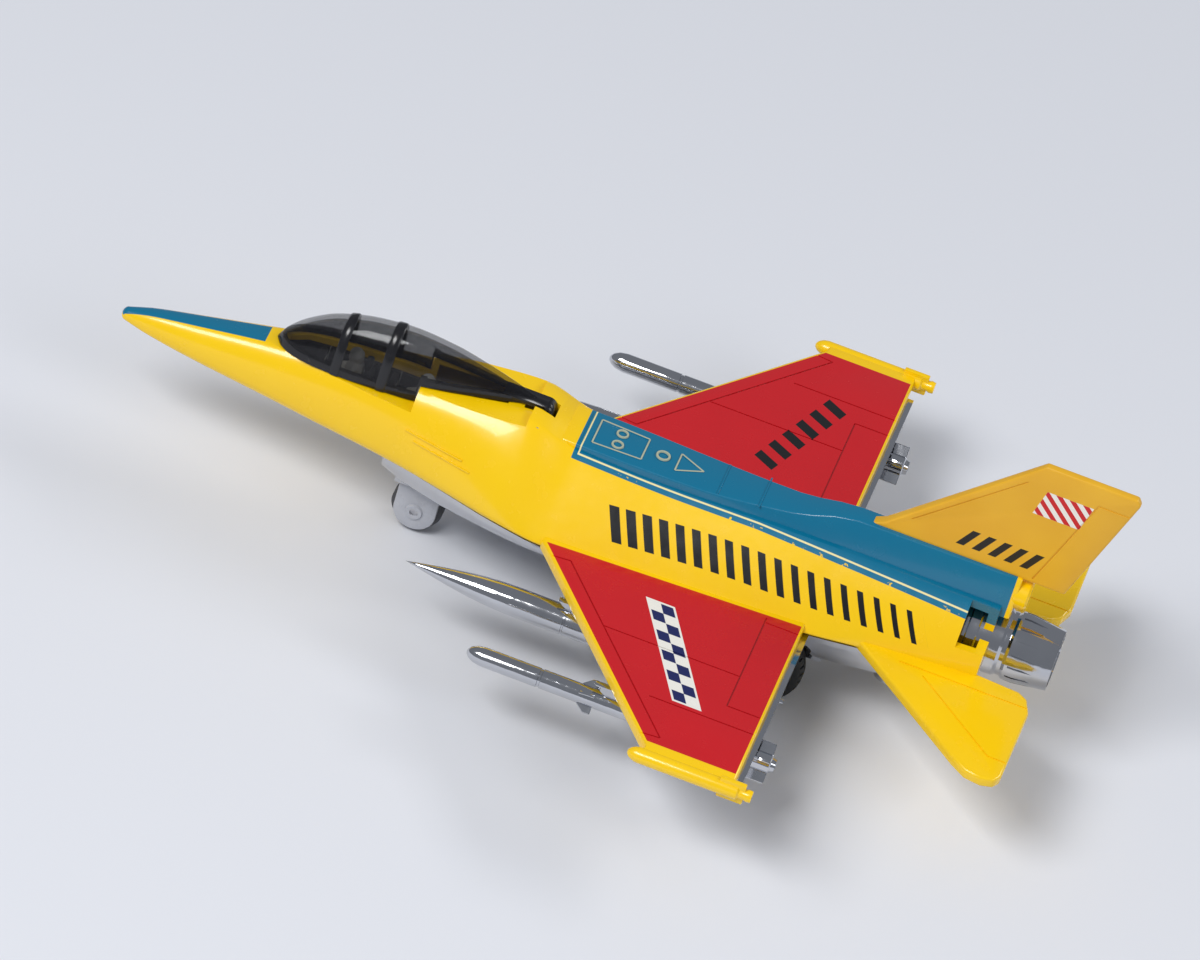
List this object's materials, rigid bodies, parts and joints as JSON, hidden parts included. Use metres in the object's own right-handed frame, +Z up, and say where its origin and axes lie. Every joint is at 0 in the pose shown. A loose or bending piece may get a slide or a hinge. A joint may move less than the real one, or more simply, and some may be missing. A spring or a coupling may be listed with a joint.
{
  "type": "toy jet airplane",
  "caption": "Pull-back toy fighter jet: die-cast body and wings, opening smoke canopy, swept fin, under-wing stores, plated hull and a spring motor on its rear wheels.",
  "frame": {"origin": "on the floor under the wheels, centred on the object's bounding box", "axes": "+X towards the nose, +Y to port, +Z up"},
  "size_m": [0.19, 0.133, 0.0654],
  "materials": {
    "body_paint": "gloss enamel, red wings, blue-green spine",
    "fin_plastic": "gloss",
    "plated_plastic": "vacuum plated",
    "smoke_plastic": "dark clear",
    "dark_plastic": "matte",
    "crew_plastic": "satin",
    "gear_plastic": "gloss",
    "grey_plastic": "matte",
    "tyre_rubber": "matte",
    "motor_plastic": "satin",
    "gear_nylon": "satin",
    "brass": "cut",
    "steel": "ground",
    "spring_steel": "blued"
  },
  "bodies": {
    "airframe": {"upper_body": "body_paint", "tail_fin": "fin_plastic", "lower_hull": "plated_plastic", "exhaust_nozzle": "plated_plastic", "canopy_hinge_pin": "steel", "cockpit_tub": "dark_plastic", "front_pilot": "crew_plastic", "rear_pilot": "crew_plastic", "left_drop_tank": "plated_plastic", "right_drop_tank": "plated_plastic", "left_missile": "plated_plastic", "right_missile": "plated_plastic", "nose_gear_fork": "gear_plastic", "nose_axle": "steel", "motor_case_left": "motor_plastic", "motor_case_right": "motor_plastic", "idler_shaft": "steel", "motor_case_screws": "steel", "motor_mounting_screws": "steel", "body_screws": "steel"},
    "canopy": {"canopy": "smoke_plastic"},
    "nose_wheel": {"nose_wheel": "grey_plastic"},
    "rear_wheels": {"rear_axle": "steel", "left_wheel_hub": "plated_plastic", "right_wheel_hub": "plated_plastic", "left_tyre": "tyre_rubber", "right_tyre": "tyre_rubber", "drive_gear": "brass"},
    "idler": {"idler_gear": "gear_nylon"},
    "spring_drive": {"spring_arbor": "steel", "spring_gear": "gear_nylon", "mainspring": "spring_steel"}
  },
  "joints": [
    {"name": "canopy_hinge", "type": "hinge", "parent": "airframe", "child": "canopy", "pos_m": [0.0142, 0, 0.0366], "axis": [0, -1, 0], "range_deg": [0, 40]},
    {"name": "nose_wheel_spin", "type": "hinge", "parent": "airframe", "child": "nose_wheel", "pos_m": [0.032, 0, 0.005], "axis": [0, 1, 0], "continuous": true},
    {"name": "rear_wheels_spin", "type": "hinge", "parent": "airframe", "child": "rear_wheels", "pos_m": [-0.038, 0, 0.0088], "axis": [0, 1, 0], "continuous": true},
    {"name": "idler_spin", "type": "hinge", "parent": "airframe", "child": "idler", "pos_m": [-0.03375, 0, 0.01616], "axis": [0, 1, 0], "continuous": true},
    {"name": "spring_drive_spin", "type": "hinge", "parent": "airframe", "child": "spring_drive", "pos_m": [-0.02201, 0, 0.01866], "axis": [0, 1, 0], "continuous": true}
  ],
  "couplings": [
    {"joint": "idler_spin", "follows": "rear_wheels_spin", "ratio": -0.41667},
    {"joint": "spring_drive_spin", "follows": "rear_wheels_spin", "ratio": 0.13889}
  ]
}
